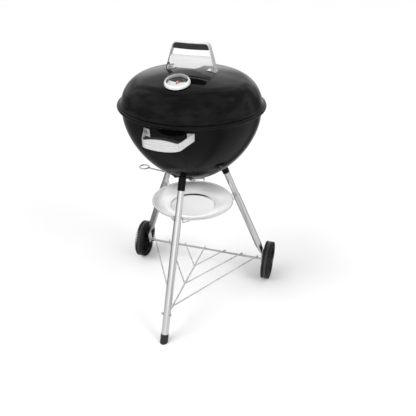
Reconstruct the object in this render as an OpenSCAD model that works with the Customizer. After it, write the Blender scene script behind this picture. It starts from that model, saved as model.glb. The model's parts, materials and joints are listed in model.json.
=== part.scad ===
// Kettle charcoal grill on a tripod, with two wheels at the back and one foot at the front.
// Millimetres, +Z up, ground at z = 0. The front leg points to -Y and the axle lies along X.
// The kettle's own axis stands at x = 0, y = kettle_y, so that the origin is the middle of the footprint.

/* [Bowl] */
// Outer radius of the rolled rim round the bowl's mouth
rim_r = 240; // [236:1:244]
// Height of the middle of the rolled rim above the ground
rim_z = 742.5; // [738:0.5:747]
// Radius of the rolled rim's section
roll_r = 6; // [5.5:0.5:6.5]
// Depth of the bowl below its upright wall
bowl_depth = 235; // [230:1:240]
// Exponent of the bowl's curve; larger values make its bottom more pointed
bowl_power = 1.163; // [1.1:0.01:1.2]
// Thickness of the enamelled steel sheet
sheet = 1.2; // [1:0.1:1.4]

/* [Lid] */
// Radius of the lid's rounded shoulder
shoulder_r = 99; // [96:1:102]
// Radius of the flatter crown above the shoulder
crown_r = 630; // [600:10:660]

/* [Legs] */
// Angle of each leg from the upright
splay = 23; // [22.5:0.5:23.5]
// Where the leg brackets sit on the bowl's curve, from its wall at 0 to its lowest point at 90
bracket_t = 59; // [57:1:61]
// Outer diameter of the upper leg tubes
upper_d = 22; // [21:0.5:22]
// Outer diameter of the lower leg tubes
lower_d = 25; // [25:0.5:26]
// Wall of the lower leg tubes
tube_wall = 1.4; // [1.2:0.1:1.4]
// Height at which an upper tube enters its lower tube
tube_joint_z = 388; // [384:1:392]

/* [Wheels] */
// Diameter of the wheels
wheel_d = 150; // [146:1:154]
// Width of the wheels
wheel_w = 32; // [30:1:34]
// Distance from the middle plane to the middle of each wheel
wheel_x = 265; // [264:1:267]
// Diameter of the axle
axle_d = 8; // [7:0.5:8]

/* [Handles] */
// Half the span of the lid handle at its feet
lid_arm_x = 82; // [80:1:84]
// Height of the lid handle above its feet
lid_arm_h = 85; // [82:1:88]
// Half the span of the bowl handle at its feet
bowl_arm_x = 77; // [75:1:79]
// Reach of the bowl handle in front of its feet
bowl_arm_h = 71.5; // [69:0.5:74]
// Lean of a handle's arms towards each other
handle_lean = 17; // [15:1:19]
// Width of a handle's strap at its arms
strap_w = 24; // [22:1:26]
// Extra width of a handle's strap at the middle of the grip, on each side
strap_swell = 6; // [4:1:7]
// Thickness of a handle's strap
strap_t = 2; // [1.5:0.5:2.5]

/* [Thermometer] */
// Outer diameter of the bezel
bezel_d = 78; // [74:1:82]
// Distance of the thermometer from the lid's axis
gauge_r = 132; // [128:1:136]

/* [Ash pan] */
// Outer radius of the ash pan's rim
pan_r = 145; // [142:1:146]
// Height of the ash pan's rim
pan_z = 389; // [386:1:392]
// Radius of the sunk middle of the ash pan
pan_floor_r = 82; // [78:1:86]

/* [Wire parts] */
// Diameter of the wire rack's wire
rack_wire_d = 4.5; // [4:0.5:5]
// Diameter of the ash pan clips' wire
clip_wire_d = 3; // [2.5:0.5:3.5]
// Diameter of the vent lever's wire
lever_wire_d = 5; // [4:0.5:5]
// Distance between the cooking grate's bars
bar_pitch = 16; // [14:1:20]

/* [Hidden] */

gap = 0.3;                     // free space between parts that move past each other
fit = 0.08;                    // radial clearance of a running fit
fine = 96;                     // $fn of large round shapes

// Bowl: an upright wall above a superelliptic curve
wall_r = rim_r - 14.7;         // outer radius at the top of the curve
wall_z = rim_z - 24.5;         // height of the top of the curve
function bowl_point(t, out = 0) =
    let (c = cos(t), s = sin(t), nr = pow(c, 2 - bowl_power) / wall_r,
         nz = -pow(s, 2 - bowl_power) / bowl_depth, n = norm([nr, nz]))
    [wall_r * pow(c, bowl_power) + out * nr / n, wall_z - bowl_depth * pow(s, bowl_power) + out * nz / n];
function bowl_lean(t) = atan2(pow(cos(t), 2 - bowl_power) / wall_r, -pow(sin(t), 2 - bowl_power) / bowl_depth);
roll_c = [rim_r - roll_r, rim_z];
function roll_point(a, r) = roll_c + r * [cos(a), sin(a)];

// Lid: a crown arc that runs into a smaller shoulder arc
lid_wall_r = wall_r + 2.3;
shoulder_c = [lid_wall_r - shoulder_r, rim_z - 3.9];
crown_a = asin(shoulder_c[0] / (crown_r - shoulder_r));
crown_z = shoulder_c[1] - (crown_r - shoulder_r) * cos(crown_a);
lid_base_z = rim_z + 15.5;     // where the lid's wall starts to flare to its bead
bead_r = 2.2;
bead_c = [roll_c[0] - 4, rim_z + sqrt(pow(roll_r + bead_r + gap, 2) - 16)];
function crown_height(r) = crown_z + sqrt(crown_r * crown_r - r * r);
function crown_lean(r) = asin(r / crown_r);

// Legs
azimuths = [-90, 30, 150];     // front, right and left
bracket_p = bowl_point(bracket_t);
foot_reach = bracket_p[0] + bracket_p[1] * tan(splay);
function along(z) = z / cos(splay);
function leg_point(s, x, y) = [foot_reach - s * sin(splay) + x * cos(splay), y, s * cos(splay) + x * sin(splay)];
socket_r = 12.6;
socket_low_z = 482;
tube_overlap = 45;             // length of upper tube inside the lower one
cap_r = lower_d / 2 + 1.1;
cap_top_z = 26;
screw_side = 14.3;             // angle round the bowl from a leg to each bracket screw
plate_half = 34;               // half the width of a bracket's saddle plate

// Axle and flattened leg ends
axle_z = wheel_d / 2;
axle_r = axle_d / 2;
leg_end_r = foot_reach - axle_z * tan(splay);
axle_y = leg_end_r * sin(30);
plate_x = 242;                 // middle plane of a flattened leg end
plate_t = 5;
plate_w = 28;
plate_top_z = 112;
crush_z = 150;                 // where the round tube starts to flatten
washer_t = 1.2;
axle_half = wheel_x + wheel_w / 2;

// Footprint: the origin is at its middle
kettle_y = (foot_reach + cap_r / cos(splay) - rim_r) / 2;

// Wire rack
rack_z = axle_z + axle_r + rack_wire_d / 2 + 0.6;
rack_front_y = -235;
rack_half = 222;               // half its width at the axle
rack_fork = [[-103, 157], [12, 86]];         // spine point and half width at the axle of each inner V
rack_bolt_z = 90;
rack_bolt_y = -foot_reach + rack_bolt_z * tan(splay);
rack_tab = [[rack_bolt_y - 6, rack_bolt_z - 3], [rack_bolt_y - 3, rack_bolt_z - 6], [rack_front_y + 4, rack_z - 5],
            [rack_front_y + 8, rack_z], [rack_front_y + 4, rack_z + 5], [rack_bolt_y + 3, rack_bolt_z + 6],
            [rack_bolt_y - 3, rack_bolt_z + 6], [rack_bolt_y - 6, rack_bolt_z + 3]];
hook_r = axle_r + rack_wire_d / 2 + gap;

// Vent lever
lever_az = 196.5;
lever_hub_z = 468;
lever_rise = 15;               // slope of the lever under the bowl
lever_loop_s = 172;            // distance along the lever to the middle of its finger loop
lever_loop_r = 16;
shaft_r = 5;
blade_az = 26;                 // angle covered by a blade
vent_pitch = 6;                // angle between the slots of a vent

// Lid damper
damper_y = 96;
damper_r = 40;
damper_holes_r = 24;
damper_hole_r = 10.5;

// Thermometer, in its own frame on the crown
dial_r = bezel_d / 2 - 6;
case_h = 8;
gauge_tilt = 3;                // wedge that turns the dial a little further than the crown

// Grates
grate_wire_r = 3;
bar_r = 2;
grate_r = rim_r - 27;
grate_z = wall_z - 8;
charcoal_t = 35;
charcoal_c = bowl_point(charcoal_t, -(sheet + grate_wire_r + gap));

black = [0.07, 0.07, 0.075];
steel = [0.78, 0.79, 0.8];
alloy = [0.86, 0.87, 0.88];

// ---- helpers ----

module kettle() translate([0, kettle_y, 0]) children();

module leg_frame(az) rotate(az) translate([foot_reach, 0, 0]) rotate([0, -splay, 0]) children();

module on_bowl(az, t, out = 0) {
    p = bowl_point(t, out);
    rotate(az) translate([p[0], 0, p[1]]) rotate([0, bowl_lean(t), 0]) children();
}

module on_crown(az, r) rotate(az) translate([r, 0, crown_height(r)]) rotate([0, crown_lean(r), 0]) children();

module tube(r_out, r_in, h) difference() {
    cylinder(r = r_out, h = h, $fn = fine);
    translate([0, 0, -1]) cylinder(r = r_in, h = h + 2, $fn = fine);
}

module rod(a, b, r) {
    d = b - a;
    translate(a) rotate([0, acos(d[2] / norm(d)), atan2(d[1], d[0])]) cylinder(r = r, h = norm(d), $fn = 32);
}

// A bent wire through the points; each bend is a ball slightly larger than the wire
module wire(points, r) {
    for (i = [1 : len(points) - 1]) rod(points[i - 1], points[i], r);
    for (i = [1 : len(points) - 2]) translate(points[i]) sphere(r = r + 0.08, $fn = 32);
}

module ring(r, wire_r) rotate_extrude($fn = fine) translate([r, 0]) circle(r = wire_r, $fn = 32);

// Flat bar with round ends between two points of a plane
module slot2d(a, b, r) {
    d = b - a;
    for (p = [a, b]) translate(p) circle(r = r, $fn = 64);
    translate(a) rotate(atan2(d[1], d[0])) translate([0, -r]) square([norm(d), 2 * r]);
}

// Bolt with its underhead face at z = 0, its shank downwards and its nut below
module bolt(head_r, head_h, shank_r, shank_h, nut_z, nut_r, nut_h) {
    intersection() {
        translate([0, 0, head_h - head_r * 1.6]) sphere(r = head_r * 1.6, $fn = 48);
        cylinder(r = head_r, h = head_h, $fn = 48);
    }
    translate([0, 0, -shank_h]) cylinder(r = shank_r, h = shank_h + 0.5, $fn = 48);
    translate([0, 0, nut_z - nut_h]) cylinder(r = nut_r, h = nut_h, $fn = 6);
}

// ---- bowl ----

module bowl_section(out_a, out_b, t_a, t_b, steps) {
    polygon([for (i = [0 : steps]) bowl_point(t_a + (t_b - t_a) * i / steps, out_a),
             for (i = [steps : -1 : 0]) bowl_point(t_a + (t_b - t_a) * i / steps, out_b)]);
}

module bowl_solid(out) rotate_extrude($fn = fine) polygon([
    for (i = [0 : 30]) bowl_point(3 * i, out),
    [0, wall_z]]);

module bowl_shell() color(black) kettle() difference() {
    rotate_extrude($fn = fine) polygon([
        for (i = [30 : -1 : 0]) bowl_point(3 * i),
        [wall_r + 1, rim_z - 7.5],
        for (a = [180 : -16 : -108]) roll_point(a, roll_r - sheet),
        for (a = [-108 : 16 : 180]) roll_point(a, roll_r),
        [wall_r + 1 - sheet, rim_z - 7],
        for (i = [0 : 30]) bowl_point(3 * i, -sheet)]);
    translate([0, 0, lever_hub_z]) cylinder(r = shaft_r + fit, h = 40, $fn = 48);
    for (az = azimuths) rotate(az + 60) vent_slots();
    for (az = azimuths) for (side = [-1, 1])
        on_bowl(az + side * screw_side, bracket_t, 2) translate([0, 0, -8]) cylinder(r = 3.2, h = 16, $fn = 32);
    for (side = [-1, 1]) bowl_handle_foot(side) translate([0, 0, -8]) cylinder(r = 3.2, h = 16, $fn = 32);
}

// Three radial slots through the bottom of the bowl
module vent_slots() for (a = [-1, 0, 1]) rotate(a * vent_pitch)
    translate([50, 0, 470]) linear_extrude(60) slot2d([0, 0], [30, 0], 2);

// Shelves for the cooking grate, bent from strips that follow the bowl's wall
module grate_brackets() color(black) kettle() for (az = [15, 75, 195, 255]) rotate(az) intersection() {
    translate([grate_r - 10, -9, grate_z - 30]) cube([30, 18, 40]);
    union() {
        rotate_extrude($fn = fine) bowl_section(-sheet - 2.3, -sheet - 0.3, 4.5, 12, 4);
        translate([0, 0, grate_z - 5.5]) tube(wall_r - 3.4, grate_r - 9, 2);
    }
}

// ---- handles: a strap bent like a staple, with a grip inside it ----

lean_t = tan(handle_lean);
corner_r = 15;
grip_drop = 18;

module staple(arm_x, arm_h, inset) {
    r = corner_r - inset;
    z = arm_h - corner_r;
    x = arm_x - z * lean_t - corner_r / cos(handle_lean);
    foot = arm_x - inset / cos(handle_lean);
    tangent = [x + r * cos(handle_lean), z + r * sin(handle_lean)];
    polygon([[-foot, 0], [foot, 0], tangent, [x, z + r], [-x, z + r], [-tangent[0], tangent[1]]]);
    for (side = [-1, 1]) translate([side * x, z]) circle(r = r, $fn = 64);
}

// Plan of the strap: straight arms and a lens over the grip
module swell(margin) {
    half = strap_w / 2 - margin;
    arc_r = (2500 + strap_swell * strap_swell) / (2 * strap_swell);
    square([400, 2 * half], center = true);
    intersection_for(side = [-1, 1]) translate([0, side * (arc_r - half - strap_swell)])
        circle(r = arc_r, $fn = 180);
}

module handle_strap(arm_x, arm_h) intersection() {
    rotate([90, 0, 0]) linear_extrude(80, center = true) difference() {
        staple(arm_x, arm_h, 0);
        staple(arm_x, arm_h, strap_t);
        translate([-200, -1]) square([400, 1.6]);
    }
    linear_extrude(200) swell(0);
}

module handle_grip(arm_x, arm_h) intersection() {
    rotate([90, 0, 0]) linear_extrude(80, center = true) intersection() {
        staple(arm_x - 3, arm_h, strap_t + 0.1);
        translate([-100, arm_h - strap_t - grip_drop]) square([200, grip_drop]);
    }
    linear_extrude(200) swell(1.5);
}

// Lid handle
lid_bolt_x = 67;
lid_handle_z = crown_height(lid_arm_x - strap_t) + 0.2;

module lid_handle_foot(side) on_crown(side > 0 ? 0 : 180, lid_bolt_x) translate([0, 0, 0.05]) children();

module lid_handle_strap() color(steel) kettle() difference() {
    union() {
        translate([0, 0, lid_handle_z]) handle_strap(lid_arm_x, lid_arm_h);
        for (side = [-1, 1]) lid_handle_foot(side)
            translate([-15, -strap_w / 2, 0]) cube([lid_arm_x - lid_bolt_x + 15.4, strap_w, strap_t]);
    }
    for (side = [-1, 1]) lid_handle_foot(side) translate([0, 0, -5]) cylinder(r = 3.2, h = 16, $fn = 32);
}

module lid_handle_grip() color(black) kettle() translate([0, 0, lid_handle_z])
    handle_grip(lid_arm_x, lid_arm_h);

module lid_handle_bolts() color(steel) kettle() for (side = [-1, 1]) lid_handle_foot(side)
    translate([0, 0, strap_t + 1.15]) bolt(5.5, 3.4, 3, 12, -strap_t - sheet - 1.4, 5.5, 5);

// Heat shield: a bent sheet in front of the fingers, whose side ears run down the arms to the bolts
shield_profile = [[-14, 7.5], [-9, 33], [-4, 44.5]];
shield_outline = [[-80, 22], [-56, 20], [-50, 7], [12, 7], [27, 11], [42, 19], [80, 21], [80, 60], [-80, 60]];
shield_t = 1;

module bent_sheet(points, t) for (i = [1 : len(points) - 1]) slot2d(points[i - 1], points[i], t / 2);

function arm_inside(h) = lid_arm_x - strap_t / cos(handle_lean) - 0.7 - h * lean_t;

module lid_heat_shield() color(steel) kettle() difference() {
    union() {
        translate([0, 0, lid_handle_z]) {
            intersection() {
                rotate([90, 0, 90]) linear_extrude(160, center = true) bent_sheet(shield_profile, shield_t);
                rotate([90, 0, 0]) linear_extrude(100, center = true) intersection() {
                    polygon(shield_outline);
                    polygon([[-arm_inside(0), 0], [arm_inside(0), 0], [arm_inside(60), 60], [-arm_inside(60), 60]]);
                }
            }
            for (side = [-1, 1]) translate([0, -3, 0]) rotate([90, 0, 0]) linear_extrude(9)
                slot2d([side * arm_inside(3), 3], [side * arm_inside(40), 40], shield_t / 2);
        }
        for (side = [-1, 1]) lid_handle_foot(side)
            translate([-7, -12, strap_t + 0.1]) cube([lid_arm_x - lid_bolt_x + 3.5, 24, shield_t]);
    }
    for (side = [-1, 1]) lid_handle_foot(side) translate([0, 0, -5]) cylinder(r = 3.2, h = 16, $fn = 32);
}

// Bowl handle
bowl_foot_t = 2.1;
bowl_bolt_a = 17;
bowl_bolt_x = wall_r * sin(bowl_bolt_a);
bowl_handle_y = -sqrt(pow(wall_r, 2) - pow(bowl_arm_x - strap_t, 2)) - 0.3;
bowl_handle_droop = 6;

module bowl_handle_frame() translate([0, bowl_handle_y, bowl_point(bowl_foot_t)[1]])
    rotate([90 + bowl_handle_droop, 0, 0]) children();

module bowl_handle_foot(side) on_bowl(-90 + side * bowl_bolt_a, bowl_foot_t, 0.05) rotate(90)
    mirror([side < 0 ? 1 : 0, 0, 0]) children();

module bowl_handle_strap() color(steel) kettle() difference() {
    union() {
        bowl_handle_frame() handle_strap(bowl_arm_x, bowl_arm_h);
        for (side = [-1, 1]) bowl_handle_foot(side)
            translate([-9, -strap_w / 2, 0]) cube([bowl_arm_x - bowl_bolt_x + 10, strap_w, strap_t]);
    }
    for (side = [-1, 1]) bowl_handle_foot(side) translate([0, 0, -5]) cylinder(r = 3.2, h = 16, $fn = 32);
}

module bowl_handle_grip() color(black) kettle() bowl_handle_frame() handle_grip(bowl_arm_x, bowl_arm_h);

module bowl_handle_bolts() color(steel) kettle() for (side = [-1, 1]) bowl_handle_foot(side)
    translate([0, 0, strap_t + 0.05]) bolt(5.5, 3.4, 3, 8.2, -strap_t - sheet - 0.4, 5.5, 4);

// ---- legs ----

// Saddle plate on the bowl with the socket that takes the leg
module leg_bracket(az) color(black) kettle() difference() {
    union() {
        intersection() {
            rotate_extrude($fn = fine) bowl_section(0.05, 2.05, bracket_t - 9, bracket_t + 9, 6);
            on_bowl(az, bracket_t) cube([34, 2 * plate_half, 60], center = true);
        }
        difference() {
            leg_frame(az) translate([0, 0, along(socket_low_z)]) cylinder(r = socket_r, h = 70, $fn = fine);
            bowl_solid(0.05);
        }
    }
    leg_frame(az) translate([0, 0, along(socket_low_z) - 1])
        cylinder(r = upper_d / 2 + 0.05, h = along(512 - socket_low_z) + 1, $fn = fine);
    for (side = [-1, 1])
        on_bowl(az + side * screw_side, bracket_t, 2) translate([0, 0, -8]) cylinder(r = 3.2, h = 16, $fn = 32);
}

module front_leg_bracket() leg_bracket(azimuths[0]);
module right_leg_bracket() leg_bracket(azimuths[1]);
module left_leg_bracket() leg_bracket(azimuths[2]);

module bracket_screws() color(black) kettle() for (az = azimuths) for (side = [-1, 1])
    on_bowl(az + side * screw_side, bracket_t, 2.15) bolt(5.5, 3.4, 3, 12, -2.2 - sheet - 0.4, 5.5, 5);

module leg_upper(az) color(alloy) kettle() leg_frame(az) difference() {
    translate([0, 0, along(tube_joint_z) - tube_overlap])
        tube(upper_d / 2, upper_d / 2 - tube_wall, along(511) - along(tube_joint_z) + tube_overlap);
    translate([0, 0, along(clip_pin_z)]) rotate([90, 0, 0])
        cylinder(r = clip_wire_d / 2 + 0.2, h = 60, center = true, $fn = 32);
}

module front_leg_upper() leg_upper(azimuths[0]);
module right_leg_upper() leg_upper(azimuths[1]);
module left_leg_upper() leg_upper(azimuths[2]);

front_tube_s = 13;             // start of the front tube inside its foot cap

module front_leg_lower() color(alloy) kettle() difference() {
    leg_frame(azimuths[0]) translate([0, 0, front_tube_s])
        tube(lower_d / 2, lower_d / 2 - tube_wall, along(tube_joint_z) - front_tube_s);
    rack_bolt_place() rotate([0, 90, 0]) cylinder(r = 2.7, h = 60, center = true, $fn = 32);
    rack_bolt_place() translate([-2.2, 0, -9]) cube([4.4, 40, 18]);
}

module leg_lower(side) color(alloy) kettle() difference() {
    union() {
        leg_frame(side > 0 ? azimuths[1] : azimuths[2]) translate([0, 0, along(crush_z)])
            tube(lower_d / 2, lower_d / 2 - tube_wall, along(tube_joint_z) - along(crush_z));
        hull() {
            leg_frame(side > 0 ? azimuths[1] : azimuths[2]) translate([0, 0, along(crush_z)])
                cylinder(r = lower_d / 2 - 0.2, h = 3, $fn = 32);
            translate([side * plate_x, (foot_reach - plate_top_z * tan(splay)) * sin(30), plate_top_z])
                cube([plate_t - 0.1, plate_w - 0.6, 1], center = true);
        }
        translate([side * plate_x, 0, 0]) rotate([90, 0, 90]) linear_extrude(plate_t, center = true)
            slot2d([axle_y, axle_z], [(foot_reach - plate_top_z * tan(splay)) * sin(30), plate_top_z], plate_w / 2);
    }
    translate([side * plate_x, axle_y, axle_z]) rotate([0, 90, 0])
        cylinder(r = axle_r + 0.05, h = 40, center = true, $fn = 64);
}

module right_leg_lower() leg_lower(1);
module left_leg_lower() leg_lower(-1);

module front_foot_cap() color(black) kettle() difference() {
    leg_frame(azimuths[0]) difference() {
        translate([0, 0, -20]) cylinder(r = cap_r, h = along(cap_top_z) + 20, $fn = fine);
        translate([0, 0, front_tube_s]) cylinder(r = lower_d / 2 + 0.05, h = 60, $fn = fine);
    }
    translate([-60, -foot_reach - 60, -60]) cube([120, 120, 60]);
}

// ---- axle, wheels and rack ----

module axle() color(steel) kettle() translate([0, axle_y, axle_z]) rotate([0, 90, 0])
    cylinder(r = axle_r, h = 2 * axle_half - 2, center = true, $fn = 64);

module axle_washers() color(steel) kettle() for (side = [-1, 1])
    translate([side * (plate_x + plate_t / 2 + 0.1), axle_y, axle_z]) rotate([0, side * 90, 0])
        tube(8, axle_r + 0.05, washer_t);

hub_face_in = plate_x + plate_t / 2 + washer_t + 0.1 + gap;
hub_face_out = axle_half - 6;

module hub_caps() color(black) kettle() for (side = [-1, 1])
    translate([side * (hub_face_out + gap), axle_y, axle_z]) rotate([0, side * 90, 0]) difference() {
        rotate_extrude($fn = fine) intersection() {
            translate([0, -13]) circle(r = 22, $fn = 96);
            square([12, 20]);
        }
        translate([0, 0, -1]) cylinder(r = axle_r + 0.05, h = axle_half - 1 - hub_face_out - gap + 1.1, $fn = 64);
    }

module wheel(side) color(black) kettle() translate([side * wheel_x, axle_y, axle_z]) rotate([0, side * 90, 0]) {
    r = wheel_d / 2;
    h = wheel_w / 2;
    difference() {
        rotate_extrude($fn = fine) polygon([
            [axle_r + fit, hub_face_in - wheel_x], [14, hub_face_in - wheel_x], [16, -7], [r - 22, -7],
            [r - 19, -h + 1], [r - 16, -h], [r - 4, -h], [r, -h + 4],
            [r, h - 4], [r - 4, h], [r - 16, h], [r - 19, h - 1],
            [r - 22, 7], [16, 7], [14, hub_face_out - wheel_x], [axle_r + fit, hub_face_out - wheel_x]]);
        for (z = [-h + 7, h - 7]) translate([0, 0, z]) rotate_extrude($fn = fine)
            translate([r, 0]) circle(r = 1.2, $fn = 24);
    }
}

module right_wheel() wheel(1);
module left_wheel() wheel(-1);

// A straight twelve-sided wire, a little longer than the distance between its ends
module rack_rod(a, b, r) {
    d = (b - a) / norm(b - a);
    translate(a - 0.6 * r * d) rotate([0, acos(d[2]), atan2(d[1], d[0])])
        cylinder(r = r, h = norm(b - a) + 1.2 * r, $fn = 12);
}

// A V-bent wire of the rack, hooked over the axle at both ends
module rack_v(y, half, lift) {
    back = axle_y + hook_r;
    for (side = [-1, 1]) {
        rack_rod([0, y, rack_z + side * lift], [side * half, back, rack_z], rack_wire_d / 2);
        rack_rod([side * half, back, rack_z], [side * half, back, axle_z - 1], rack_wire_d / 2 - 0.1);
    }
}

module rack_bolt_place() rotate(azimuths[0]) translate([foot_reach - rack_bolt_z * tan(splay), 0, rack_bolt_z])
    rotate(90) children();

module wire_rack() color(steel) kettle() difference() {
    union() {
        rack_v(rack_front_y, rack_half, 0.1);
        for (v = rack_fork) rack_v(v[0], v[1], 0.1);
        rack_rod([0, rack_front_y - 4, rack_z], [0, axle_y + hook_r, rack_z], rack_wire_d / 2 + 0.35);
        rack_rod([0, axle_y + hook_r, rack_z], [0, axle_y + hook_r, axle_z - 1], rack_wire_d / 2 - 0.1);
        translate([-1.5, 0, 0]) rotate([90, 0, 90]) linear_extrude(3) polygon(rack_tab);
    }
    rack_bolt_place() rotate([0, 90, 0]) cylinder(r = 2.7, h = 60, center = true, $fn = 32);
}

module rack_bolt() color(steel) kettle() rack_bolt_place() rotate([0, 90, 0])
    translate([0, 0, lower_d / 2 + 0.1]) bolt(5, 3, 2.5, 33, -lower_d - 0.2, 4.5, 4);

// ---- ash pan and its clips ----

pan_sheet = 1;
pan_depth = 20;
function pan_wall(r, low) = [r, pan_z - 4 - pan_depth * (1 - pow((r - pan_floor_r) / (pan_r - 4 - pan_floor_r), 1.5)) - low];

module ash_pan() color(alloy) kettle() rotate_extrude($fn = fine) {
    floor_z = pan_z - 4 - pan_depth - 4;
    steps = 8;
    span = pan_r - 4 - pan_floor_r;
    polygon([[0, floor_z - pan_sheet], [pan_floor_r - 4.5, floor_z - pan_sheet],
             for (i = [0 : steps]) pan_wall(pan_floor_r + span * i / steps, pan_sheet),
             for (i = [steps : -1 : 0]) pan_wall(pan_floor_r + span * i / steps, 0),
             [pan_floor_r - 5, floor_z], [0, floor_z]]);
    translate([pan_r - 2.5, pan_z - 2.5]) circle(r = 2.5, $fn = 48);
}

clip_pin_z = 400;
clip_side = upper_d / 2 + 4.2;

// The wire passes through the leg, comes down on both sides of it and reaches in under the pan's rim
module pan_clip(az) color(steel) kettle() rotate(az) wire([
    [pan_r - 12, 34, pan_z - 9.2],
    [pan_r + 7, clip_side, pan_z - 9.2],
    leg_point(along(clip_pin_z), 0, clip_side),
    leg_point(along(clip_pin_z), 0, -clip_side),
    [pan_r + 7, -clip_side, pan_z - 9.2],
    [pan_r - 12, -34, pan_z - 9.2]], clip_wire_d / 2);

module front_pan_clip() pan_clip(azimuths[0]);
module right_pan_clip() pan_clip(azimuths[1]);
module left_pan_clip() pan_clip(azimuths[2]);

// ---- lid ----

module lid_region(inset) {
    big = crown_r - inset;
    intersection() {
        translate([0, crown_z]) circle(r = big, $fn = 360);
        polygon([[0, crown_z], [0, crown_z + 2 * big], [2 * big * tan(crown_a), crown_z + 2 * big]]);
        translate([0, lid_base_z]) square([400, 400]);
    }
    intersection() {
        translate(shoulder_c) circle(r = shoulder_r - inset, $fn = 180);
        translate([0, lid_base_z]) square([400, 400]);
    }
}

lid_base_r = shoulder_c[0] + sqrt(pow(shoulder_r, 2) - pow(lid_base_z - shoulder_c[1], 2));

module lid_shell() color(black) kettle() difference() {
    rotate_extrude($fn = fine) {
        difference() {
            lid_region(0);
            lid_region(sheet);
        }
        polygon([[lid_base_r, lid_base_z + 0.01], [lid_base_r - sheet - 0.1, lid_base_z + 0.01],
                 [bead_c[0] - bead_r, bead_c[1]], [bead_c[0], bead_c[1] + bead_r - 0.4]]);
        translate(bead_c) circle(r = bead_r, $fn = 48);
    }
    for (side = [-1, 1]) lid_handle_foot(side) translate([0, 0, -8]) cylinder(r = 3.2, h = 16, $fn = 32);
    damper_frame() for (a = azimuths) rotate(a)
        translate([damper_holes_r, 0, -12]) cylinder(r = damper_hole_r, h = 20, $fn = 48);
    damper_frame() translate([0, 0, -12]) cylinder(r = 3.2, h = 20, $fn = 48);
    gauge_frame() translate([0, 0, -20]) cylinder(r = 6.2, h = 40, $fn = 48);
}

module damper_frame() on_crown(90, damper_y) children();

module lid_damper() color(alloy) kettle() damper_frame() translate([0, 0, gap]) difference() {
    union() {
        cylinder(r = damper_r, h = 1.2, $fn = fine);
        translate([damper_r, 0, 0]) rotate([90, 0, 0]) linear_extrude(14, center = true)
            polygon([[-4, 0.1], [5, 0.1], [12, 7], [11.2, 7.8], [4.6, 1.1], [-4, 1.1]]);
    }
    for (a = azimuths) rotate(a + 60) translate([damper_holes_r, 0, -1]) cylinder(r = damper_hole_r, h = 4, $fn = 48);
    translate([0, 0, -1]) cylinder(r = 3 + fit, h = 4, $fn = 48);
}

module damper_rivet() color(steel) kettle() damper_frame() {
    translate([0, 0, -sheet - 2.5]) cylinder(r = 3, h = sheet + 2.5 + gap + 1.2 + gap + 0.1, $fn = 48);
    translate([0, 0, gap + 1.2 + gap]) cylinder(r = 7, h = 2, $fn = 48);
    translate([0, 0, -sheet - 2.6]) cylinder(r = 6, h = 2, $fn = 48);
}

// ---- thermometer ----

module gauge_frame() on_crown(-90, gauge_r) rotate([0, gauge_tilt, 0]) translate([0, 0, 1]) rotate(90) children();

module thermometer_case() color(steel) kettle() gauge_frame() {
    difference() {
        cylinder(r = bezel_d / 2 - 3, h = case_h, $fn = fine);
        translate([0, 0, 2]) cylinder(r = bezel_d / 2 - 5, h = case_h, $fn = fine);
    }
    translate([0, 0, -14]) cylinder(r = 6, h = 14.5, $fn = 48);
    translate([0, 0, -44]) cylinder(r = 3, h = 31, $fn = 48);
}

module thermometer_dial() color("white") kettle() gauge_frame() translate([0, 0, 2.05]) difference() {
    cylinder(r = bezel_d / 2 - 5.1, h = 1, $fn = fine);
    translate([0, 0, -1]) cylinder(r = 1.55, h = 4, $fn = 32);
}

module thermometer_pivot() color(steel) kettle() gauge_frame() translate([0, 0, 2.05]) {
    cylinder(r = 1.5, h = 3.6, $fn = 32);
    translate([0, 0, 3.6]) cylinder(r = 2.6, h = 0.7, $fn = 32);
}

module thermometer_needle() color("red") kettle() gauge_frame() translate([0, 0, 3.05 + gap]) difference() {
    union() {
        cylinder(r = 4, h = 1.6, $fn = 48);
        linear_extrude(0.9) polygon([[-1.6, -9], [1.6, -9], [1, dial_r - 12], [0, dial_r - 6], [-1, dial_r - 12]]);
    }
    translate([0, 0, -1]) cylinder(r = 1.5 + fit, h = 4, $fn = 32);
}

module thermometer_lens() color([0.9, 0.95, 1, 0.35]) kettle() gauge_frame()
    translate([0, 0, case_h + 0.1]) cylinder(r = bezel_d / 2 - 3.6, h = 1.6, $fn = fine);

module thermometer_bezel() color(steel) kettle() gauge_frame() rotate_extrude($fn = fine) difference() {
    intersection() {
        translate([bezel_d / 2 - 6, 2]) square([6, case_h + 2.6]);
        translate([bezel_d / 2 - 12, 3]) circle(r = 12, $fn = 96);
    }
    translate([bezel_d / 2 - 20, -1]) square([20 - 2.9, case_h + 1]);
    translate([bezel_d / 2 - 20, 0]) square([20 - 3.5, case_h + 1.8]);
}

module thermometer_nut() color(steel) kettle() gauge_frame() translate([0, 0, -sheet - 7.2]) difference() {
    union() {
        cylinder(r = 10, h = 5, $fn = 6);
        for (side = [-1, 1]) translate([side * 12, 0, 1]) cube([12, 2.5, 5], center = true);
    }
    translate([0, 0, -3]) cylinder(r = 6.05, h = 12, $fn = 48);
}

// ---- bottom vents ----

module vent_blades() color(alloy) kettle() difference() {
    union() {
        for (az = azimuths) rotate(az + 60 - blade_az / 2) rotate_extrude(angle = blade_az, $fn = fine)
            bowl_section(-sheet - gap - 1.5, -sheet - gap, bracket_t + 4, 84, 8);
        rotate_extrude($fn = fine) bowl_section(-sheet - gap - 1.5, -sheet - gap, 80, 88, 3);
        translate([0, 0, vent_floor_z + gap]) cylinder(r = 14, h = 9, $fn = fine);
    }
    cylinder(r = shaft_r + 0.05, h = 1000, $fn = 48);
}

vent_floor_z = bowl_point(90)[1] + sheet + 2.6;

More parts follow.
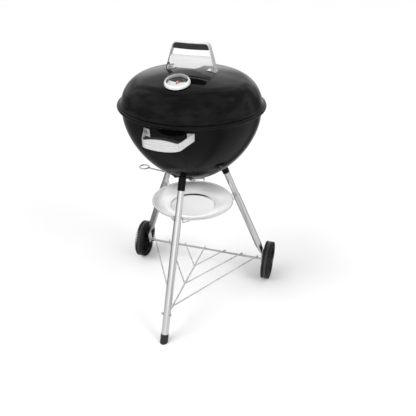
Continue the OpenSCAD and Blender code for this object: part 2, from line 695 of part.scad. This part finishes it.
module vent_shaft() color(steel) kettle() {
    translate([0, 0, lever_hub_z - 6]) cylinder(r = shaft_r, h = vent_floor_z + 16 - lever_hub_z, $fn = 48);
    translate([0, 0, vent_floor_z + 9.5]) cylinder(r = 8, h = 4, $fn = 6);
    translate([0, 0, lever_hub_z - 9]) cylinder(r = 8, h = 4, $fn = 6);
}

module vent_lever() color(steel) kettle() rotate(lever_az) {
    r = lever_wire_d / 2;
    tail = -40;
    difference() {
        translate([0, 0, lever_hub_z - 4.6]) cylinder(r = 10, h = 9, $fn = 48);
        cylinder(r = shaft_r + 0.05, h = 1000, $fn = 48);
    }
    difference() {
        wire([[tail, 0, lever_hub_z - 6], [tail, 0, lever_hub_z + 2], [-16, 0, lever_hub_z], [-6, 0, lever_hub_z]], r);
        cylinder(r = shaft_r + 1, h = 1000, $fn = 48);
    }
    difference() {
        translate([0, 0, lever_hub_z]) rotate([0, -lever_rise, 0]) {
            translate([6, 0, 0]) rotate([0, 90, 0]) cylinder(r = r, h = lever_loop_s - lever_loop_r - 6, $fn = 32);
            translate([lever_loop_s, 0, 0]) rotate([0, lever_rise, 0]) ring(lever_loop_r, r);
        }
        cylinder(r = shaft_r + 1, h = 1000, $fn = 48);
    }
}

// ---- grates ----

module grate(radius, pitch, rail_y) {
    count = floor(0.93 * radius / pitch);
    ring(radius, grate_wire_r);
    for (i = [-count : count]) {
        half = sqrt(radius * radius - pow(i * pitch, 2));
        rod([i * pitch, -half, 0], [i * pitch, half, 0], bar_r);
    }
    for (y = [-rail_y, rail_y]) {
        half = sqrt(radius * radius - y * y);
        rod([-half, y, -2.2], [half, y, -2.2], bar_r + 0.5);
    }
}

module cooking_grate() color(steel) kettle() translate([0, 0, grate_z]) grate(grate_r, bar_pitch, 70);

module charcoal_grate() color(steel) kettle() translate([0, 0, charcoal_c[1]])
    grate(charcoal_c[0], 1.4 * bar_pitch, 45);

bowl_shell();
grate_brackets();
bowl_handle_strap();
bowl_handle_grip();
bowl_handle_bolts();
front_leg_bracket();
right_leg_bracket();
left_leg_bracket();
bracket_screws();
front_leg_upper();
right_leg_upper();
left_leg_upper();
front_leg_lower();
right_leg_lower();
left_leg_lower();
front_foot_cap();
axle();
axle_washers();
hub_caps();
wire_rack();
rack_bolt();
ash_pan();
front_pan_clip();
right_pan_clip();
left_pan_clip();
lid_shell();
lid_handle_strap();
lid_handle_grip();
lid_heat_shield();
lid_handle_bolts();
damper_rivet();
lid_damper();
thermometer_case();
thermometer_dial();
thermometer_pivot();
thermometer_needle();
thermometer_lens();
thermometer_bezel();
thermometer_nut();
vent_blades();
vent_shaft();
vent_lever();
cooking_grate();
charcoal_grate();
right_wheel();
left_wheel();
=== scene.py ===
"""Looks of the kettle charcoal grill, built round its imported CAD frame."""

import json  # noqa: E402
import math  # noqa: E402

import bmesh  # noqa: E402
import bpy  # noqa: E402
from mathutils import Matrix, Vector  # noqa: E402

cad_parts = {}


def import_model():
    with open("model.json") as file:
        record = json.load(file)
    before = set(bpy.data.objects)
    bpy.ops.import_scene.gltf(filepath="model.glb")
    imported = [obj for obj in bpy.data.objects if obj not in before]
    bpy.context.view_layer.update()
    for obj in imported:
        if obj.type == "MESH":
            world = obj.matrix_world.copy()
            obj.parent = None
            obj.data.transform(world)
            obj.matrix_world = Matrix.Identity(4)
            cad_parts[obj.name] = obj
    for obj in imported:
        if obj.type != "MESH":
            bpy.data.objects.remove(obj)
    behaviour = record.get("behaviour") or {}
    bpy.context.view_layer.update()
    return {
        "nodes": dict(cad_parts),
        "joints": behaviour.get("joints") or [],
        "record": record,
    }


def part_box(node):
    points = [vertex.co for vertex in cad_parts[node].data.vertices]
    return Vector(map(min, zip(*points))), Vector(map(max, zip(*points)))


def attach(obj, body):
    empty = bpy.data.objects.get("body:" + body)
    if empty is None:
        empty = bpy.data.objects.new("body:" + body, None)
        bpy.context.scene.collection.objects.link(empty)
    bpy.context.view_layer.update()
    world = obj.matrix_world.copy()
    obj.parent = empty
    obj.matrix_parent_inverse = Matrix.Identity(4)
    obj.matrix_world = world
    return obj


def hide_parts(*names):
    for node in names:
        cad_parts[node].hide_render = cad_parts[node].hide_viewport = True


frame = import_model()
nodes = frame["nodes"]


def joint(name):
    return next(j for j in frame["joints"] if j["name"] == name)


MM = 0.001
AXIS_Y = joint("vent_sweep")["pos_m"][1]  # the kettle's upright axis


# ---- shader trees ----


class Graph:
    """A shader tree, with small calls that add one node each and return its output."""

    def __init__(self, tree):
        self.tree = tree

    def put(self, value, socket):
        if isinstance(value, bpy.types.NodeSocket):
            self.tree.links.new(value, socket)
        else:
            socket.default_value = value

    def node(self, kind, **inputs):
        n = self.tree.nodes.new(kind)
        for key, value in inputs.items():
            self.put(value, n.inputs[key.replace("_", " ")])
        return n

    def math(self, op, a, b=0.0, c=0.0):
        n = self.tree.nodes.new("ShaderNodeMath")
        n.operation = op
        for value, socket in zip((a, b, c), n.inputs):
            self.put(value, socket)
        return n.outputs[0]

    def vector_math(self, op, a, b=(0.0, 0.0, 0.0)):
        n = self.tree.nodes.new("ShaderNodeVectorMath")
        n.operation = op
        self.put(a, n.inputs[0])
        self.put(b, n.inputs[1])
        return n.outputs

    def length(self, a, b):
        return self.math("SQRT", self.math("ADD", self.math("MULTIPLY", a, a), self.math("MULTIPLY", b, b)))

    def noise(self, vector, scale, detail=4.0, rough=0.55):
        n = self.node("ShaderNodeTexNoise", Vector=vector, Scale=scale, Detail=detail, Roughness=rough)
        return n.outputs["Fac"]

    def ramp(self, value, *stops):
        """Colours at positions: stops are (position, grey or rgb)."""
        n = self.tree.nodes.new("ShaderNodeValToRGB")
        self.put(value, n.inputs[0])
        points = n.color_ramp.elements
        while len(points) < len(stops):
            points.new(1.0)
        for point, (at, shade) in zip(points, stops):
            point.position = at
            rgb = (shade,) * 3 if isinstance(shade, (int, float)) else shade
            point.color = (*rgb, 1.0)
        return n.outputs[0]

    def between(self, value, low, high):
        """Maps 0..1 to low..high."""
        return self.math("MULTIPLY_ADD", value, high - low, low)

    def xyz(self, vector):
        return self.node("ShaderNodeSeparateXYZ", Vector=vector).outputs


class Mat(Graph):
    """A procedural material round one principled shader, in object coordinates."""

    def __init__(self, name):
        self.mat = bpy.data.materials.new(name)
        self.mat.use_nodes = True
        super().__init__(self.mat.node_tree)
        self.tree.nodes.clear()
        out = self.tree.nodes.new("ShaderNodeOutputMaterial")
        self.shader = self.tree.nodes.new("ShaderNodeBsdfPrincipled")
        self.put(self.shader.outputs[0], out.inputs["Surface"])
        self.coord = self.tree.nodes.new("ShaderNodeTexCoord").outputs["Object"]

    def set(self, **values):
        for key, value in values.items():
            self.put(value, self.shader.inputs[key.replace("_", " ")])

    def mapped(self, scale=(1, 1, 1), offset=(0, 0, 0)):
        return self.node("ShaderNodeMapping", Vector=self.coord, Scale=scale, Location=offset).outputs[0]

    def cloud(self, scale, detail=4.0):
        return self.noise(self.coord, scale, detail)

    def bump(self, height, strength, distance):
        n = self.node("ShaderNodeBump", Height=height, Strength=strength, Distance=distance)
        self.put(n.outputs[0], self.shader.inputs["Normal"])


# ---- materials ----


def enamel():
    """Glossy porcelain enamel: faint orange peel and a slightly uneven gloss."""
    m = Mat("enamel")
    m.set(
        Base_Color=m.ramp(m.cloud(9.0), (0.3, (0.0022, 0.0022, 0.0026)), (0.7, (0.004, 0.004, 0.0044))),
        Roughness=m.between(m.cloud(23.0, 3.0), 0.03, 0.09),
        Specular_IOR_Level=0.13,
    )
    peel = m.math("ADD", m.cloud(160.0, 2.0), m.math("MULTIPLY", m.cloud(14.0, 2.0), 2.0))
    m.bump(peel, 0.06, 0.0006)
    return m.mat


def satin_black(name, shade, grain, rough=(0.35, 0.5)):
    """Painted or moulded black with a fine grain."""
    m = Mat(name)
    m.set(
        Base_Color=m.ramp(m.cloud(35.0), (0.3, shade * 0.75), (0.7, shade * 1.3)),
        Roughness=m.between(m.cloud(60.0), *rough),
    )
    m.bump(m.cloud(grain, 3.0), 0.25, 0.0003)
    return m.mat


def drawn_metal(name, shade, scale, rough, metallic=1.0):
    """Metal with fine lines along the direction that scale leaves long."""
    m = Mat(name)
    lines = m.noise(m.mapped(scale), 1.0, 6.0, 0.7)
    mix = m.math("ADD", m.math("MULTIPLY", lines, 0.6), m.math("MULTIPLY", m.cloud(11.0), 0.4))
    m.set(
        Base_Color=m.ramp(mix, (0.3, shade * 0.88), (0.7, shade * 1.08)),
        Metallic=metallic,
        Roughness=m.between(mix, *rough),
    )
    m.bump(lines, 0.05, 0.0002)
    return m.mat


def spun_metal(name, shade, rough):
    """Sheet metal turned on a lathe: fine rings round the kettle's axis."""
    m = Mat(name)
    x, y, _ = m.xyz(m.mapped(offset=(0, -AXIS_Y, 0)))
    ring_pitch = 0.0024166
    wobble = m.math("MULTIPLY", m.cloud(6.0), 0.004)
    phase = m.math("MULTIPLY", m.math("ADD", m.length(x, y), wobble), math.tau / ring_pitch)
    patches = m.cloud(8.0)
    m.set(
        Base_Color=m.ramp(patches, (0.3, shade * 0.93), (0.7, shade * 1.03)),
        Metallic=1.0,
        Roughness=m.between(patches, *rough),
    )
    m.bump(m.math("SINE", phase), 0.04, 0.0002)
    return m.mat


def tyre_black(name, axle):
    """Moulded black, paler with wear on the lug tops and darkened by painted shade in the notches and
    inside the tread.
    """
    paler_from, per_metre = 0.07, 100.0  # radius where the paler wear starts over the painted shade, and how fast it grows
    m = Mat(name)
    _, y, z = m.xyz(m.mapped(offset=tuple(-axle)))
    # painted shade: below the lug tops the colour darkens with radius, into the notches, ribs and web; the
    # paler lug tops stand for wear
    jittered_radius = m.math("MULTIPLY_ADD", m.cloud(70.0), 0.003, m.length(y, z))
    wear_and_shade = m.math("MULTIPLY_ADD", jittered_radius, per_metre, -paler_from * per_metre)
    m.set(
        Base_Color=m.ramp(wear_and_shade, (0.0, 0.0025), (0.3, 0.004), (0.62, 0.04)),
        Roughness=m.between(m.cloud(90.0), 0.3, 0.48),
        Specular_IOR_Level=0.32,
    )
    m.bump(m.cloud(900.0, 3.0), 0.3, 0.0002)
    return m.mat


def dial_face(centre, normal):
    """White face with a dark fan in its upper half and fine ticks all round, and painted shade in a dark
    band at its rim, where the bezel meets it.
    """
    fan_half_angle, ticks, tick_from, tick_to, edge = 74, 40, 0.0215, 0.0255, 0.0295
    m = Mat("dial_face")
    up = (Vector((0, 0, 1)) - normal * normal.z).normalized()
    side = up.cross(normal)
    local = m.vector_math("SUBTRACT", m.coord, centre)["Vector"]
    u, v = (m.vector_math("DOT_PRODUCT", local, axis)["Value"] for axis in (side, up))
    radius, angle = m.length(u, v), m.math("ARCTAN2", u, v)
    teeth = m.math("GREATER_THAN", m.math("COSINE", m.math("MULTIPLY", angle, ticks)), 0.82)
    band = m.math(
        "MULTIPLY", m.math("GREATER_THAN", radius, tick_from), m.math("LESS_THAN", radius, tick_to)
    )
    marks = m.math("MULTIPLY", teeth, band)
    fan = m.math("LESS_THAN", m.math("ABSOLUTE", angle), math.radians(fan_half_angle))
    fan = m.math("SUBTRACT", fan, m.math("MULTIPLY", m.math("MULTIPLY", fan, marks), 0.45))
    # painted shade: beyond edge the face is dark, where the bezel meets it; the fan and ticks are print
    dark = m.math("MAXIMUM", fan, m.math("GREATER_THAN", radius, edge))
    dark = m.math("MAXIMUM", dark, m.math("MULTIPLY", marks, 0.35))
    shade = m.math("SUBTRACT", m.between(m.cloud(50.0), 0.76, 0.82), m.math("MULTIPLY", dark, 0.82))
    m.set(Base_Color=m.ramp(shade, (0.0, 0.01), (1.0, 1.0)), Roughness=m.between(m.cloud(30.0), 0.3, 0.4))
    return m.mat


def needle_red(centre):
    """Red near the pivot, black towards the tip."""
    m = Mat("needle_red")
    away = m.math("MULTIPLY", m.vector_math("DISTANCE", m.coord, centre)["Value"], 40.0)
    reach = m.math("MULTIPLY_ADD", m.cloud(60.0), 0.02, away)
    deep, red, black = (0.5, 0.014, 0.01), (0.62, 0.02, 0.015), (0.02, 0.01, 0.01)
    m.set(
        Base_Color=m.ramp(reach, (0.2, deep), (0.54, red), (0.6, black)),
        Roughness=m.between(m.cloud(40.0), 0.3, 0.4),
    )
    return m.mat


def clear_lens():
    """Thin clear cover, with an index low enough to leave the dial in place behind it."""
    m = Mat("lens_clear")
    m.set(
        Base_Color=m.ramp(m.cloud(8.0), (0.0, 0.97), (1.0, 1.0)),
        Roughness=m.between(m.cloud(30.0), 0.0, 0.02),
        Transmission_Weight=1.0,
        IOR=1.08,
    )
    return m.mat


gauge = joint("needle_turn")
gauge_normal = Vector(gauge["axis"]).normalized()
gauge_centre = Vector(gauge["pos_m"])
axle = Vector((0, *joint("right_wheel_spin")["pos_m"][1:]))

finish = {
    "enamel": enamel(),
    "bracket_black": satin_black("bracket_black", 0.012, 500.0, (0.22, 0.36)),
    "handle_steel": drawn_metal("handle_steel", 0.8, (12, 900, 900), (0.2, 0.36), metallic=0.6),
    "grip_plastic": satin_black("grip_plastic", 0.014, 1100.0),
    "fastener_steel": drawn_metal("fastener_steel", 0.6, (400, 400, 60), (0.2, 0.35)),
    "shield_steel": drawn_metal("shield_steel", 0.95, (14, 700, 700), (0.14, 0.26)),
    "leg_alloy": drawn_metal("leg_alloy", 0.8, (900, 900, 14), (0.14, 0.24)),
    "foot_plastic": satin_black("foot_plastic", 0.012, 1000.0),
    "wheel_plastic": tyre_black("wheel_black", axle),
    "axle_steel": drawn_metal("axle_steel", 0.66, (20, 700, 700), (0.2, 0.34)),
    "rack_wire": drawn_metal("rack_wire", 0.72, (60, 60, 60), (0.2, 0.36)),
    "pan_alloy": spun_metal("pan_alloy", 0.94, (0.2, 0.3)),
    "clip_wire": drawn_metal("clip_wire", 0.5, (90, 90, 90), (0.22, 0.36)),
    "damper_alloy": drawn_metal("damper_alloy", 0.8, (300, 20, 300), (0.26, 0.4)),
    "bezel_steel": drawn_metal("bezel_steel", 0.95, (200, 200, 200), (0.26, 0.38), metallic=0.35),
    "dial_face": dial_face(gauge_centre, gauge_normal),
    "needle_red": needle_red(gauge_centre),
    "lens_clear": clear_lens(),
    "grate_steel": drawn_metal("grate_steel", 0.55, (40, 700, 700), (0.2, 0.36)),
}


# ---- the CAD pieces: a material each, facets rounded, real edges left crisp ----


def smooth_group(sharp_from):
    """A modifier that shades smooth across every edge bent by less than sharp_from degrees."""
    tree = bpy.data.node_groups.new("smooth_by_angle", "GeometryNodeTree")
    for way in ("INPUT", "OUTPUT"):
        tree.interface.new_socket("Geometry", in_out=way, socket_type="NodeSocketGeometry")
    start, end = tree.nodes.new("NodeGroupInput"), tree.nodes.new("NodeGroupOutput")
    faces, edges = (tree.nodes.new("GeometryNodeSetShadeSmooth") for _ in range(2))
    faces.domain, edges.domain = "FACE", "EDGE"
    bend = tree.nodes.new("GeometryNodeInputMeshEdgeAngle")
    gentle = tree.nodes.new("FunctionNodeCompare")
    gentle.operation = "LESS_THAN"
    gentle.inputs["B"].default_value = math.radians(sharp_from)
    tree.links.new(bend.outputs["Unsigned Angle"], gentle.inputs["A"])
    tree.links.new(start.outputs[0], faces.inputs["Geometry"])
    tree.links.new(faces.outputs[0], edges.inputs["Geometry"])
    tree.links.new(gentle.outputs[0], edges.inputs["Shade Smooth"])
    tree.links.new(edges.outputs[0], end.inputs[0])
    return tree


smoothing = smooth_group(28.0)
for part in frame["record"]["subparts"]:
    piece = nodes[part["node"]]
    piece.data.materials.clear()
    piece.data.materials.append(finish[part["material_slot"]])
    piece.modifiers.new("weld", "WELD").merge_threshold = 0.01 * MM
    piece.modifiers.new("smooth", "NODES").node_group = smoothing


# ---- wheels: moulded, with a lugged tread, in place of the plain CAD wheels. All in mm ----


BORE, HUB, HUB_CHAMFER = 4.1, 14.0, 1.0
HUB_ROOT = (8.0, 15.6)  # where the hub meets the web
OUTER_HUB_REACH = 10.0
WHEEL_PROFILE = [  # distance from the wheel's middle plane and radius, from the web to the tread's middle
    (7.0, 18.0), (7.0, 51.5), (8.2, 53.4), (14.4, 56.0), (15.4, 57.0), (15.4, 59.6),
    (14.8, 60.4), (14.8, 62.4), (16.0, 63.6), (16.0, 69.6), (15.3, 73.2), (13.6, 75.0),
    (9.2, 75.0), (8.8, 72.6), (7.6, 72.6), (7.2, 74.2), (4.6, 74.2), (4.2, 74.6), (0.0, 74.6),
]
LUGS, STEPS_PER_LUG = 42, 8
TREAD_RINGS = range(9, 15)    # the profile's points that a notch lowers by NOTCH
SIDE_RINGS = range(4, 12)     # those that it moves in by SIDE_CUT
POCKET_RINGS = range(15, 17)  # those that a pocket inside each lug lowers by POCKET
NOTCH, SIDE_CUT, POCKET = 9.0, 6.5, 3.2
EDGE_SHARE = 0.6              # of NOTCH, at the tread's outermost point

RIBS, RIB_THICK = 10, 3.2
RIB_FOOT, RIB_END = 6.0, 54.5    # buried in the web, and the radius where a rib meets the rim
RIB_TOP_IN, RIB_TOP_OUT = 11.0, 13.5
BOX_FACES = ((0, 1, 3, 2), (4, 6, 7, 5), (0, 4, 5, 1), (2, 3, 7, 6), (0, 2, 6, 4), (1, 5, 7, 3))


def hub_end(reach):
    """One end of the hub, from its bore to the web."""
    return [(reach, BORE), (reach, HUB - HUB_CHAMFER), (reach - HUB_CHAMFER, HUB), HUB_ROOT]


def tread_point(ring, step, x, radius):
    """A profile point at one step round the wheel, where each lug is followed by a notch."""
    in_notch = step % STEPS_PER_LUG >= STEPS_PER_LUG // 2
    if in_notch and ring in SIDE_RINGS:
        x -= math.copysign(SIDE_CUT, x)
    if in_notch and ring in TREAD_RINGS:
        radius -= NOTCH * (EDGE_SHARE if ring == TREAD_RINGS[0] else 1.0)
    if not in_notch and ring in POCKET_RINGS:
        radius -= POCKET
    return x, radius


def turned_body(side, inner_hub_reach):
    """Points and faces of hub, web and rim, closed round the bore."""
    profile = list(enumerate(WHEEL_PROFILE))
    rings = [(-x, r, None) for x, r in hub_end(inner_hub_reach)]
    rings += [(-x, r, i) for i, (x, r) in profile]
    rings += [(x, r, i) for i, (x, r) in reversed(profile[:-1])]
    rings += [(x, r, None) for x, r in reversed(hub_end(OUTER_HUB_REACH))]
    steps = LUGS * STEPS_PER_LUG
    points, faces = [], []
    for x, r, ring in rings:
        for k in range(steps):
            turn = math.tau * k / steps
            across, radius = tread_point(ring, k, x, r)
            points.append(Vector((side * across, radius * math.cos(turn), radius * math.sin(turn))))
    for i in range(len(rings)):
        row, above = i * steps, (i + 1) % len(rings) * steps
        for k in range(steps):
            after = (k + 1) % steps
            quad = [row + k, row + after, above + after, above + k]
            faces.append(quad if side < 0 else quad[::-1])
    return points, faces


def rib(turn, face):
    """The eight corners of one rib, higher at the rim than at the hub."""
    return [
        turn @ Vector((face * x, y, r))
        for r, top in ((HUB, RIB_TOP_IN), (RIB_END, RIB_TOP_OUT))
        for x in (RIB_FOOT, top)
        for y in (-RIB_THICK / 2, RIB_THICK / 2)
    ]


def wheel(side, node):
    low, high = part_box(node)
    centre = Vector(joint(node + "_spin")["pos_m"])
    inner_face = low[0] if side > 0 else high[0]
    points, faces = turned_body(side, abs(inner_face - centre.x) / MM)
    for face in (-side, side):
        for k in range(RIBS):
            first = len(points)
            points += rib(Matrix.Rotation(math.tau * (k + 0.5) / RIBS, 3, "X"), face)
            faces += [[first + corner for corner in box_face] for box_face in BOX_FACES]
    mesh = bpy.data.meshes.new(node + "_moulded")
    mesh.from_pydata([tuple(centre + p * MM) for p in points], [], faces)
    mesh.validate()
    face_outwards(mesh)
    mesh.materials.append(finish["wheel_plastic"])
    obj = bpy.data.objects.new(node + "_moulded", mesh)
    bpy.context.scene.collection.objects.link(obj)
    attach(obj, node + "_body")
    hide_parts(node)


def face_outwards(mesh):
    grid = bmesh.new()
    grid.from_mesh(mesh)
    bmesh.ops.recalc_face_normals(grid, faces=grid.faces)
    grid.to_mesh(mesh)
    grid.free()


wheel(1, "right_wheel")
wheel(-1, "left_wheel")


# ---- floor and light ----


FLAGS = ((58.0, 16.0, 0.85), (168.0, 3.0, 0.75), (-28.0, 40.0, 0.45))  # bearing, narrowness, depth


def flagged(graph, direction):
    """The share of the studio's light left round the compass, with dark flags beside the grill."""
    flat = graph.vector_math("MULTIPLY", direction, (1.0, 1.0, 0.0))["Vector"]
    unit = graph.vector_math("NORMALIZE", flat)["Vector"]
    left = 1.0
    for bearing, narrow, depth in FLAGS:
        turn = math.radians(bearing)
        toward = graph.vector_math("DOT_PRODUCT", unit, (math.cos(turn), math.sin(turn), 0.0))
        lobe = graph.math("POWER", graph.math("MAXIMUM", toward["Value"], 0.0), narrow)
        left = graph.math("MULTIPLY", left, graph.math("MULTIPLY_ADD", lobe, -depth, 1.0))
    return left


def floor(size, drop):
    """Pale floor. Reflections see it dimmer, with painted shade from the studio's flags on it."""
    bpy.ops.mesh.primitive_plane_add(size=size, location=(0, 0, -drop))
    plane = bpy.context.object
    plane.name = "floor"
    m = Mat("floor_white")
    pale = m.ramp(m.cloud(3.0), (0.3, 0.97), (0.7, 0.985))
    # painted shade: glossy rays see the floor at most 0.66 bright, darkest toward the flags
    reflected = m.ramp(flagged(m, m.coord), (0.0, 0.02), (1.0, 0.66))
    seen = m.tree.nodes.new("ShaderNodeMixRGB")
    m.put(m.tree.nodes.new("ShaderNodeLightPath").outputs["Is Glossy Ray"], seen.inputs["Fac"])
    m.put(pale, seen.inputs["Color1"])
    m.put(reflected, seen.inputs["Color2"])
    m.set(Base_Color=seen.outputs[0], Roughness=0.9, Specular_IOR_Level=0.1)
    plane.data.materials.append(m.mat)


def lamp(light, toward, place=(0, 0, 0)):
    """Adds a light that shines against toward and shows in no reflection."""
    obj = bpy.data.objects.new(light.name, light)
    obj.location = place
    obj.rotation_euler = Vector(toward).to_track_quat("Z", "Y").to_euler()
    obj.visible_glossy = False
    bpy.context.scene.collection.objects.link(obj)


def softbox(name, place, aim, size, power):
    light = bpy.data.lights.new(name, "AREA")
    light.shape = "RECTANGLE"
    light.size, light.size_y = size
    light.energy = power
    lamp(light, Vector(place) - Vector(aim), place)


def sun(name, toward, strength, spread):
    """Even light over the whole floor, so that only soft shadows darken it."""
    light = bpy.data.lights.new(name, "SUN")
    light.energy = strength
    light.angle = math.radians(spread)
    lamp(light, toward)


def world(ambient, ceiling):
    """White behind the grill and even light on it. Gloss sees an uneven ceiling and the flags.

    ceiling is the brightness at rising heights, from 0 at the horizon to 1 straight up.
    """
    studio = bpy.data.worlds.new("studio")
    studio.use_nodes = True
    bpy.context.scene.world = studio
    graph = Graph(studio.node_tree)
    white = (1.0, 1.0, 1.0, 1.0)
    even = studio.node_tree.nodes["Background"]
    graph.put(white, even.inputs["Color"])
    graph.put(ambient, even.inputs["Strength"])
    direction = graph.tree.nodes.new("ShaderNodeTexCoord").outputs["Generated"]
    height = graph.xyz(direction)[2]
    uneven = graph.node(
        "ShaderNodeMapRange",
        Value=graph.noise(direction, 3.0, 1.5, 0.5),
        From_Min=0.38, From_Max=0.62, To_Min=0.6, To_Max=1.25,
    )
    fade = graph.node("ShaderNodeMapRange", Value=height, From_Max=0.8, To_Min=flagged(graph, direction))
    dome = graph.node(
        "ShaderNodeBackground",
        Color=graph.ramp(height, *ceiling),
        Strength=graph.math("MULTIPLY", uneven.outputs[0], fade.outputs[0]),
    )
    backdrop = graph.node("ShaderNodeBackground", Color=white)
    path = graph.tree.nodes.new("ShaderNodeLightPath")
    shown = even
    for ray, shade in (("Is Glossy Ray", dome), ("Is Camera Ray", backdrop)):
        mix = graph.node("ShaderNodeMixShader", Fac=path.outputs[ray])
        graph.put(shown.outputs[0], mix.inputs[1])
        graph.put(shade.outputs[0], mix.inputs[2])
        shown = mix
    graph.put(shown.outputs[0], graph.tree.nodes["World Output"].inputs["Surface"])


floor(size=120.0, drop=0.0006)
world(ambient=0.74, ceiling=((0.0, 1.0), (0.3, 1.1), (0.7, 0.9), (1.0, 0.7)))
sun("sun", toward=(-0.62, -0.5, 0.75), strength=1.3, spread=45)
softbox("fill", place=(2.6, -1.0, 2.4), aim=(0, AXIS_Y, 0.65), size=(1.2, 1.8), power=30)


# ---- camera ----


def camera(place, turn, tilt, roll, lens, shift):
    """A camera that looks turn degrees left of +Y and tilt degrees down."""
    data = bpy.data.cameras.new("camera")
    data.sensor_width = 36.0
    data.lens = lens
    data.shift_x, data.shift_y = shift
    data.clip_end = 200
    obj = bpy.data.objects.new("camera", data)
    aim = Matrix.Identity(4)
    for angle, axis in ((turn, "Z"), (90.0 - tilt, "X"), (roll, "Z")):
        aim = aim @ Matrix.Rotation(math.radians(angle), 4, axis)
    obj.matrix_world = Matrix.Translation(place) @ aim
    bpy.context.scene.collection.objects.link(obj)
    bpy.context.scene.camera = obj


camera(
    place=(0.4973, AXIS_Y - 1.4832, 1.2526), turn=16.232, tilt=29.873, roll=0.634,
    lens=43.13, shift=(-0.0056, -0.0025),
)
bpy.context.scene.view_settings.view_transform = "Standard"

bpy.context.view_layer.update()
